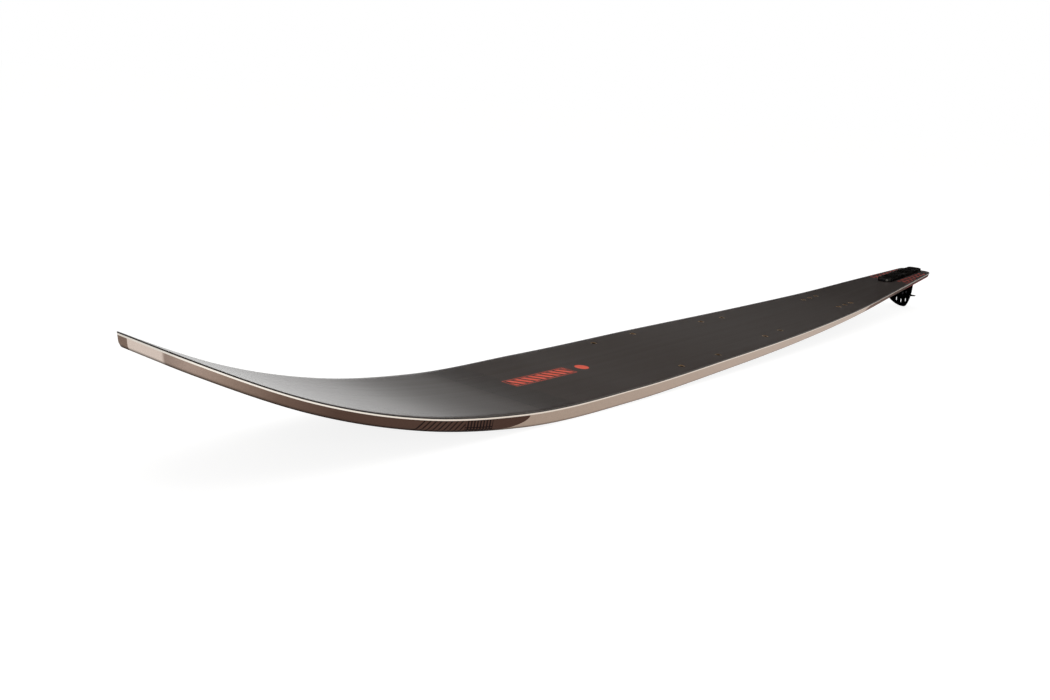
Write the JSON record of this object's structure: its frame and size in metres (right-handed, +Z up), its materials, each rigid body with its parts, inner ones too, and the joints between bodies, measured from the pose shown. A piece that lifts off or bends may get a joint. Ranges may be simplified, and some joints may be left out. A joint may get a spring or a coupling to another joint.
{
  "type": "slalom water ski",
  "caption": "Single slalom water ski with a curved-up nose, tapered tail, tunnelled base, binding inserts, and an adjustable winged fin in a block on the tail.",
  "frame": {"origin": "bottom centre of the ski's box as it rests on its belly and fin", "axes": "+X from the tail to the nose, +Y to the ski's left, +Z up out of the deck"},
  "size_m": [1.7306, 0.1762, 0.1237],
  "materials": {
    "deck": "satin dark warm grey clear-coated laminate",
    "side_and_base": "rose-taupe and brown gloss side wall and base",
    "core_foam": "structural foam, hidden",
    "hard_foam": "dense tail block, hidden",
    "insert_laminate": "glass laminate plate, hidden",
    "insert": "machined threaded insert",
    "block": "black anodised, satin",
    "clamp_bar": "machined, hidden",
    "fin": "black anodised sheet",
    "dark_screw": "blackened steel",
    "bright_screw": "bright steel"
  },
  "bodies": {
    "ski": {"deck_skin": "deck", "base_shell": "side_and_base", "foam_core": "core_foam", "tail_block": "hard_foam", "front_insert_pad": "insert_laminate", "middle_insert_pad": "insert_laminate", "rear_insert_pad": "insert_laminate", "fin_block": "block", "lock_screw": "bright_screw", "binding_insert_01": "insert", "binding_insert_02": "insert", "binding_insert_03": "insert", "binding_insert_04": "insert", "binding_insert_05": "insert", "binding_insert_06": "insert", "binding_insert_07": "insert", "binding_insert_08": "insert", "binding_insert_09": "insert", "binding_insert_10": "insert", "binding_insert_11": "insert", "binding_insert_12": "insert", "binding_insert_13": "insert", "binding_insert_14": "insert", "block_insert_1": "insert", "block_insert_2": "insert", "block_insert_3": "insert", "block_insert_4": "insert", "block_insert_5": "insert", "block_insert_6": "insert", "block_screw_1": "dark_screw", "block_screw_2": "dark_screw", "block_screw_3": "dark_screw", "block_screw_4": "dark_screw", "block_screw_5": "dark_screw", "block_screw_6": "dark_screw"},
    "fin_carriage": {"clamp_bar_left": "clamp_bar", "clamp_bar_right": "clamp_bar", "clamp_screw_1": "dark_screw", "clamp_screw_2": "dark_screw", "clamp_screw_3": "dark_screw"},
    "fin": {"fin": "fin"},
    "wing": {"wing_left": "fin", "wing_right": "fin", "wing_pivot_screw": "dark_screw", "wing_pivot_nut": "dark_screw", "wing_angle_screw": "dark_screw", "wing_angle_nut": "dark_screw"},
    "length_screw": {"length_screw": "dark_screw"}
  },
  "joints": [
    {"name": "fin_fore_aft", "type": "slide", "parent": "ski", "child": "fin_carriage", "axis": [0.9976, 0, -0.0697], "range_m": [-0.004, 0.004]},
    {"name": "fin_depth", "type": "slide", "parent": "fin_carriage", "child": "fin", "axis": [0.0697, 0, 0.9976], "range_m": [-0.0015, 0.0015]},
    {"name": "wing_angle", "type": "hinge", "parent": "fin", "child": "wing", "pos_m": [-0.80214, 0, 0.02837], "axis": [0, 1, 0], "range_deg": [-4, 4]},
    {"name": "length_screw_turn", "type": "hinge", "parent": "ski", "child": "length_screw", "pos_m": [-0.77692, 0, 0.06651], "axis": [0.9976, 0, -0.0697], "range_deg": [-3660, 3660]}
  ],
  "couplings": [
    {"joint": "length_screw_turn", "follows": "fin_fore_aft", "rad_per_m": 15708}
  ]
}
